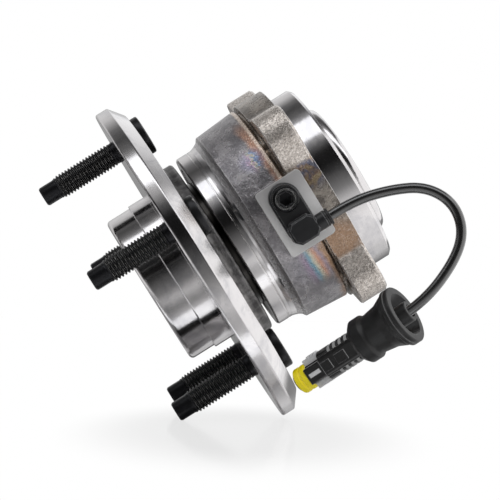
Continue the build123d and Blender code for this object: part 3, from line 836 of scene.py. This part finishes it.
for part in frame["record"]["subparts"]:
    mesh = nodes[part["node"]].data
    mesh.materials.clear()
    mesh.materials.append(finishes[part["material_slot"]])

# Mesh helpers


def newPiece(name, points, faces, slot, body, smooth=True):
    mesh = bpy.data.meshes.new(name)
    mesh.from_pydata([tuple(p) for p in points], [], faces)
    mesh.validate()
    if smooth:
        mesh.shade_smooth()
    piece = bpy.data.objects.new(name, mesh)
    bpy.context.scene.collection.objects.link(piece)
    mesh.materials.append(finishes[slot])
    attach(piece, body)
    return piece


def ringOf(along, radii):
    # points round the X axis, one for each radius
    points = []
    for step, radius in enumerate(radii):
        angle = 2 * math.pi * step / len(radii)
        points.append(Vector((along, radius * math.cos(angle), radius * math.sin(angle))))
    return points


def stitched(rows, around, closed=False):
    # faces between rings of points; both ends are capped unless the last ring meets the first
    faces = []
    for row in range(rows if closed else rows - 1):
        after = (row + 1) % rows
        for step in range(around):
            beside = (step + 1) % around
            faces.append((row * around + step, row * around + beside,
                          after * around + beside, after * around + step))
    if not closed:
        faces.append(tuple(reversed(range(around))))
        faces.append(tuple((rows - 1) * around + step for step in range(around)))
    return faces


def lathed(profile, around, closed=False):
    # points and faces of (along, radius) turned about X
    points = [point for along, radius in profile for point in ringOf(along, [radius] * around)]
    return points, stitched(len(profile), around, closed)


# Rolled fillet between the carrier's band and its cast body

fillet = {
    "start": -45.4 * mm,
    "startRadius": 48.53 * mm,
    "end": -39.0 * mm,
    "endRadius": 52.5 * mm,
    "tuck": (0.4 * mm, 0.2 * mm),
    "innerRadius": 47.0 * mm,
    "slope": 0.35,
    "curl": 0.96,
    "rows": 12,
    "around": 160,
    "sharpAngle": 35,
}


def makeFillet():
    # a slope that curls up into the cast body
    start, length = fillet["start"], fillet["end"] - fillet["start"]
    low, high = fillet["startRadius"], fillet["endRadius"] - fillet["startRadius"]
    fullCurl = 1 - math.sqrt(1 - fillet["curl"])
    profile = []
    for row in range(fillet["rows"] + 1):
        along = row / fillet["rows"]
        curled = (1 - math.sqrt(1 - fillet["curl"] * along * along)) / fullCurl
        rise = fillet["slope"] * along + (1 - fillet["slope"]) * curled
        profile.append((start + length * along, low + high * rise))
    past, under = fillet["tuck"]
    profile.append((fillet["end"] + past, fillet["endRadius"] - under))
    profile.append((fillet["end"] + past, fillet["innerRadius"]))
    profile.append((start, fillet["innerRadius"]))
    points, faces = lathed(profile, fillet["around"], closed=True)
    piece = newPiece("carrierFillet", points, faces, "carrier_steel", "fixed_side")
    piece.data.set_sharp_from_angle(angle=math.radians(fillet["sharpAngle"]))


makeFillet()
print("fillet rolled")

# Wheel studs with rolled M12 threads

stud = {
    "circle": 67.5 * mm,
    "firstClock": 15.0,
    "count": 5,
    "twist": 1.3,
    "tip": -119.6 * mm,
    "tipCentre": 1.2 * mm,
    "chamfer": 0.9 * mm,
    "pointRadius": 5.0 * mm,
    "pointEnd": -111.6 * mm,
    "threadGap": 0.3 * mm,
    "threadEnd": -78.0 * mm,
    "seat": -76.4 * mm,
    "sunk": 0.6 * mm,
    "crest": 6.0 * mm,
    "root": 5.02 * mm,
    "pitch": 1.75 * mm,
    # a flank's foot and width in half turns from the crest, and the turns over which the thread runs out
    "flankEnd": 0.86,
    "flankWide": 0.62,
    "runOut": 1.5,
    # how high the run-outs are between root and crest, at the point and at the flange
    "plainLift": (0.10, 0.45),
    "around": 48,
    "perPitch": 10,
    "headStart": -63.5 * mm,
    "headEnd": -59.0 * mm,
    "headRadius": 10.25 * mm,
    "headEdge": 0.9 * mm,
    "headInner": (6.0 * mm, 2.0 * mm),
    "headAround": 64,
    "sharpAngle": 35,
}


def threadHeight(turns):
    # 1 on the crest and 0 in the root, for a place counted in turns
    off = abs((turns % 1.0) - 0.5) * 2
    return min(1.0, max(0.0, (stud["flankEnd"] - off) / stud["flankWide"]))


def threadRing(along, start, fade, lift):
    # one ring across the thread, drawn towards its plain height where it runs out
    root, deep = stud["root"], stud["crest"] - stud["root"]
    plain = root + deep * lift
    radii = []
    for step in range(stud["around"]):
        threaded = root + deep * threadHeight((along - start) / stud["pitch"] - step / stud["around"])
        radii.append(plain + (threaded - plain) * fade)
    return ringOf(along, radii)


def studShank():
    around = stud["around"]
    chamfer = stud["chamfer"]
    points = []
    for along, radius in [
        (stud["tip"], stud["tipCentre"]),
        (stud["tip"], stud["pointRadius"] - chamfer),
        (stud["tip"] + 0.25 * chamfer, stud["pointRadius"] - 0.5 * chamfer),
        (stud["tip"] + chamfer, stud["pointRadius"]),
        (stud["pointEnd"], stud["pointRadius"]),
    ]:
        points.extend(ringOf(along, [radius] * around))
    start = stud["pointEnd"] + stud["threadGap"]
    length = stud["threadEnd"] - start
    steps = int(length / stud["pitch"] * stud["perPitch"])
    runOut = stud["runOut"] * stud["perPitch"]
    atPoint, atFlange = stud["plainLift"]
    for index in range(steps + 1):
        fade = min(1.0, index / runOut, (steps - index) / runOut)
        lift = atFlange if index > steps / 2 else atPoint
        points.extend(threadRing(start + length * index / steps, start, fade, lift))
    points.extend(ringOf(stud["seat"] + stud["sunk"], [stud["crest"]] * around))
    return points, stitched(len(points) // around, around)


def studHead():
    edge = stud["headEdge"]
    start, end, radius = stud["headStart"], stud["headEnd"], stud["headRadius"]
    back, front = stud["headInner"]
    return lathed([
        (start - 0.2 * mm, back),
        (start - 0.2 * mm, radius - edge),
        (start + 0.1 * mm, radius - 0.3 * edge),
        (start + 0.5 * mm, radius),
        (end - edge, radius),
        (end - 0.3 * edge, radius - 0.3 * edge),
        (end, radius - edge),
        (end, radius - 1.3 * edge),
        (end, front),
    ], stud["headAround"])


def makeStuds():
    points = []
    faces = []
    shank = studShank()
    head = studHead()
    for index in range(stud["count"]):
        clock = math.radians(stud["firstClock"] + index * 360 / stud["count"])
        place = Vector((0, -stud["circle"] * math.cos(clock), stud["circle"] * math.sin(clock)))
        turn = Matrix.Rotation(index * stud["twist"], 3, "X")
        for somePoints, someFaces in (shank, head):
            first = len(points)
            points.extend(place + turn @ p for p in somePoints)
            faces.extend(tuple(first + corner for corner in face) for face in someFaces)
    piece = newPiece("wheelStuds", points, faces, "stud_black", "wheel_side")
    piece.data.set_sharp_from_angle(angle=math.radians(stud["sharpAngle"]))
    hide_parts("wheel_studs")


makeStuds()
print("studs threaded")

# Sensor screw: knurled cap head with a hex socket, square to the tilted pad

screw = {
    "lean": 6.0,
    "place": (-22.2 * mm, -62.5 * mm, 8.95 * mm),
    "teeth": 40,
    "perTooth": 6,
    "toothDeep": 0.28 * mm,
    "headRadius": 6.5 * mm,
    "headHigh": 4.8 * mm,
    "headFoot": 0.3 * mm,
    "topRadius": 5.6 * mm,
    "ringRadius": 4.7 * mm,
    "ringDeep": 0.25 * mm,
    "hexFlat": 3.0 * mm,
    "hexEdge": 0.35 * mm,
    "hexDeep": 3.2 * mm,
    "shankRadius": 4.0 * mm,
    "shankDeep": 15.0 * mm,
    "shankEdge": 0.8 * mm,
    "sharpAngle": 30,
}


def hexRadius(angle, flat):
    corner = (angle % (math.pi / 3)) - math.pi / 6
    return flat / math.cos(corner)


def screwRings():
    # height over the seat, radius, share of the knurl's depth, and whether the ring is a hexagon
    bottom = -screw["shankDeep"]
    shank, head, edge = screw["shankRadius"], screw["headRadius"], screw["topRadius"]
    top, ring, flat = screw["headHigh"], screw["ringRadius"], screw["hexFlat"]
    return [
        (bottom, shank - screw["shankEdge"], 0, False),
        (bottom + screw["shankEdge"], shank, 0, False),
        (0.0, shank, 0, False),
        (0.0, head - screw["headFoot"], 0, False),
        (screw["headFoot"], head, 1, False),
        (top - 1.1 * mm, head, 1, False),
        (top - 0.6 * mm, head - 0.25 * mm, 0.4, False),
        (top - 0.1 * mm, edge + 0.1 * mm, 0, False),
        (top, edge - 0.1 * mm, 0, False),
        (top, ring + 0.35 * mm, 0, False),
        (top - screw["ringDeep"], ring + 0.15 * mm, 0, False),
        (top - screw["ringDeep"], ring - 0.15 * mm, 0, False),
        (top, ring - 0.35 * mm, 0, False),
        (top, flat + 0.5 * mm, 0, True),
        (top - screw["hexEdge"], flat, 0, True),
        (top - screw["hexDeep"], flat, 0, True),
        (top - screw["hexDeep"] - 0.5 * mm, 0.3 * mm, 0, False),
    ]


def makeScrew():
    rings = screwRings()
    perTooth = screw["perTooth"]
    around = screw["teeth"] * perTooth
    lean = turnedBy(screw["lean"], "X")
    points = []
    for high, radius, knurl, isHex in rings:
        for step in range(around):
            angle = 2 * math.pi * step / around
            tooth = abs((step % perTooth) / (perTooth / 2) - 1)
            reach = hexRadius(angle, radius) if isHex else radius
            reach -= knurl * screw["toothDeep"] * tooth
            offset = Vector((reach * math.cos(angle), -high, reach * math.sin(angle)))
            points.append(lean @ (Vector(screw["place"]) + offset))
    # these rings are stacked along -Y, so the faces turn the other way
    faces = [tuple(reversed(face)) for face in stitched(len(rings), around)]
    piece = newPiece("sensorScrew", points, faces, "screw_black", "fixed_side")
    piece.data.set_sharp_from_angle(angle=math.radians(screw["sharpAngle"]))
    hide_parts("sensor_screw")


makeScrew()
print("screw knurled")

# Grey latch window let into the plug's nose bar, in the plug's own directions

window = {
    "axis": (-0.899, 0.4355, -0.042),
    "start": (-3.4 * mm, -68.0 * mm, -73.2 * mm),
    "along": 52.5 * mm,
    "out": 6.15 * mm,
    "size": (6.3 * mm, 0.7 * mm, 2.0 * mm),
}


def makeWindow():
    along = Vector(window["axis"]).normalized()
    up = (Vector((0, 0, 1)) - along * along.z).normalized()
    outward = up.cross(along)
    middle = Vector(window["start"]) + along * window["along"] + outward * window["out"]
    sides = (-1, 1)
    points = []
    for corner in ((a, b, c) for a in sides for b in sides for c in sides):
        long, deep, high = (side * size / 2 for side, size in zip(corner, window["size"]))
        points.append(middle + along * long + outward * deep + up * high)
    faces = [(0, 1, 3, 2), (4, 6, 7, 5), (0, 4, 5, 1), (2, 3, 7, 6), (0, 2, 6, 4), (1, 5, 7, 3)]
    return newPiece("noseWindow", points, faces, "plug_clip", "fixed_side", smooth=False)


# Sensor lead, on the same route as its solid

lead = {
    "diameter": 5.0 * mm,
    "length": 0.1268,
    "route": [
        (-8.4, -62.51, -15.62),
        (5.1, -62.51, -15.62),
        (22.2, -65.2, -20.4),
        (36.4, -67.6, -27.8),
        (43.2, -70.0, -40.6),
        (40.2, -72.4, -54.4),
        (28.8, -74.0, -64.2),
        (6.94, -73.01, -72.72),
        (-5.20, -67.13, -73.28),
    ],
    "stepsAlong": 24,
    "stepsRound": 8,
    "carries": ["cable_boot", "cable_sleeve", "connector_body", "connector_seal", "connector_clip",
                "connector_terminals"],
}


def makeLead():
    line = bpy.data.curves.new("sensorLead", "CURVE")
    line.dimensions = "3D"
    spline = line.splines.new("NURBS")
    spline.points.add(len(lead["route"]) - 1)
    for point, place in zip(spline.points, lead["route"]):
        point.co = (*(c * mm for c in place), 1.0)
    spline.order_u = 3
    spline.use_endpoint_u = True
    spline.resolution_u = lead["stepsAlong"]
    line.bevel_depth = lead["diameter"] / 2
    line.bevel_resolution = lead["stepsRound"]
    line.use_fill_caps = True
    line.materials.append(finishes["lead_sheath"])
    piece = bpy.data.objects.new("sensorLead", line)
    bpy.context.scene.collection.objects.link(piece)
    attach(piece, "fixed_side")
    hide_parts("sensor_lead")
    onLead = [nodes[name] for name in lead["carries"]] + [makeWindow()]
    for unmirrored in [piece] + onLead:
        unmirrored.visible_glossy = False  # the bright flange stays free of a dark reflection


makeLead()
print("lead laid")

# Studio: white floor under the resting part, a long soft box, a light tent with dark gaps

studio = {
    "floorLean": 33.0,
    "floorDrop": -0.1162,
    "floorShift": -0.042,
    "floorSize": 8.0,
    # what the camera sees of the floor: a patch that fades out, reaching towards it
    "patchNear": 0.11,
    "patchStretch": 0.36,
    "patchFade": (0.035, 0.085),
    "floorShare": 0.30,
    "floorGlow": 0.84,
    "floorPaper": 0.42,
    "floorSheen": 0.78,
    "sheenRough": 0.09,
    # what other rays see of it
    "unseenPaper": 0.95,
    "mirrorGlow": 0.15,
    "mirrorFade": (0.10, 0.21),
    "fill": 0.55,
    "lampTint": (0.95, 0.975, 1.0),
    "lamps": [
        ("softBox", (-0.05, -0.385, 0.73), (1.6, 0.37), 2.6),
        ("rearFill", (0.25, 0.70, 0.55), (0.9, 0.5), 0.45),
    ],
    # angle from the camera's side over the top, and the tent's brightness there in reflections
    "tent": [
        (-180, 0.35), (-168, 0.18), (-150, 0.45), (-135, 0.75), (-95, 0.97), (-50, 1.00), (-28, 0.85),
        (-10, 0.25), (10, 0.045), (18, 0.008), (32, 0.010), (40, 0.13), (50, 0.55),
        (80, 0.50), (92, 0.15), (106, 0.075), (122, 0.18), (142, 0.72), (158, 0.80),
        (172, 0.55), (180, 0.40),
    ],
    # a white wall on the right, from and to this much of a glossy direction
    "wall": (0.50, 0.62),
    "wallLevel": 1.25,
}


def grey(level):
    return (level, level, level, 1)


def makeFloorPaper():
    material = bpy.data.materials.new("floorPaper")
    material.use_nodes = True
    tree = material.node_tree
    tree.nodes.clear()

    def laid(kind):
        return tree.nodes.new("ShaderNode" + kind)

    def blended(factor, first, second):
        node = laid("MixShader")
        feed(tree, node.inputs[0], factor)
        tree.links.new(first.outputs[0], node.inputs[1])
        tree.links.new(second.outputs[0], node.inputs[2])
        return node

    seen = laid("LightPath").outputs
    direct, mirrored = seen["Is Camera Ray"], seen["Is Glossy Ray"]
    paper = laid("BsdfDiffuse")
    tone = mixColor(tree, direct, grey(studio["unseenPaper"]), grey(studio["floorPaper"]))
    feed(tree, paper.inputs["Color"], tone)
    glow = laid("Emission")
    strength = times(tree, direct, studio["floorGlow"])
    feed(tree, glow.inputs["Strength"], scaled(tree, mirrored, studio["mirrorGlow"], strength))
    lit = laid("AddShader")
    tree.links.new(paper.outputs[0], lit.inputs[0])
    tree.links.new(glow.outputs[0], lit.inputs[1])
    sheen = laid("BsdfGlossy")
    sheen.inputs["Roughness"].default_value = studio["sheenRough"]
    glossy = blended(studio["floorSheen"], lit, sheen)

    # the patch fades to white, and is mostly clear, so a stud that turns below it still shows
    x, y = axesOf(tree, partVector(tree))[:2]
    ahead = times(tree, calc(tree, "ADD", x, studio["patchNear"]), studio["patchStretch"])
    far = between(tree, radiusOf(tree, ahead, y), *studio["patchFade"])
    faded = blended(times(tree, far, direct), glossy, laid("Emission"))
    clear = times(tree, direct, 1 - studio["floorShare"])
    washed = blended(clear, faded, laid("BsdfTransparent"))
    away = between(tree, radiusOf(tree, x, y), *studio["mirrorFade"])
    ended = blended(times(tree, away, mirrored), washed, laid("BsdfTransparent"))
    below = laid("NewGeometry").outputs["Backfacing"]
    whole = blended(below, ended, laid("BsdfTransparent"))
    tree.links.new(whole.outputs[0], laid("OutputMaterial").inputs["Surface"])
    return material


def makeFloor():
    lean = math.radians(studio["floorLean"])
    up = Vector((math.sin(lean), 0, math.cos(lean)))
    along = Vector((math.cos(lean), 0, -math.sin(lean)))
    turned = up.to_track_quat("Z", "Y").to_matrix().to_4x4()
    turned.translation = up * studio["floorDrop"] + along * studio["floorShift"]
    half = studio["floorSize"] / 2
    corners = [(-half, -half, 0), (half, -half, 0), (half, half, 0), (-half, half, 0)]
    mesh = bpy.data.meshes.new("studioFloor")
    mesh.from_pydata(corners, [], [(0, 1, 2, 3)])
    mesh.materials.append(makeFloorPaper())
    floor = bpy.data.objects.new("studioFloor", mesh)
    floor.matrix_world = turned
    bpy.context.scene.collection.objects.link(floor)


def makeLamps():
    for name, place, size, power in studio["lamps"]:
        data = bpy.data.lights.new(name, "AREA")
        data.shape = "RECTANGLE"
        data.size, data.size_y = size
        data.energy = power
        data.color = studio["lampTint"]
        lamp = bpy.data.objects.new(name, data)
        bpy.context.scene.collection.objects.link(lamp)
        turned = (fromPhoto @ aimed(place, (0, 0, 0))).to_4x4()
        turned.translation = photoPlace(*place)
        lamp.matrix_world = turned


def makeSurround():
    # white to the camera, the tent to glossy rays, an even fill otherwise
    world = bpy.data.worlds.new("studioSurround")
    bpy.context.scene.world = world
    world.use_nodes = True
    tree = world.node_tree
    tree.nodes.clear()
    way = tree.nodes.new("ShaderNodeTexCoord").outputs["Generated"]

    def towards(direction):
        dot = tree.nodes.new("ShaderNodeVectorMath")
        dot.operation = "DOT_PRODUCT"
        feed(tree, dot.inputs[0], way)
        dot.inputs[1].default_value = fromPhoto @ Vector(direction)
        return dot.outputs["Value"]

    around = calc(tree, "ARCTAN2", towards((0, 0, 1)), towards((0, -1, 0)))
    turns = scaled(tree, around, 0.5 / math.pi, 0.5)
    tent = rampOf(tree, turns, [((angle + 180) / 360, (level,) * 3) for angle, level in studio["tent"]])
    wall = between(tree, towards((1, 0, 0)), *studio["wall"])
    tent = mixColor(tree, wall, tent, grey(studio["wallLevel"]))
    seen = tree.nodes.new("ShaderNodeLightPath").outputs
    light = mixColor(tree, seen["Is Glossy Ray"], grey(studio["fill"]), tent)
    plainly = largest(tree, seen["Is Camera Ray"], seen["Is Transmission Ray"])
    light = mixColor(tree, plainly, light, grey(1))
    background = tree.nodes.new("ShaderNodeBackground")
    feed(tree, background.inputs["Color"], light)
    out = tree.nodes.new("ShaderNodeOutputWorld")
    tree.links.new(background.outputs[0], out.inputs["Surface"])


makeFloor()
makeLamps()
makeSurround()
bpy.context.scene.view_settings.view_transform = "Standard"
print("studio lit")
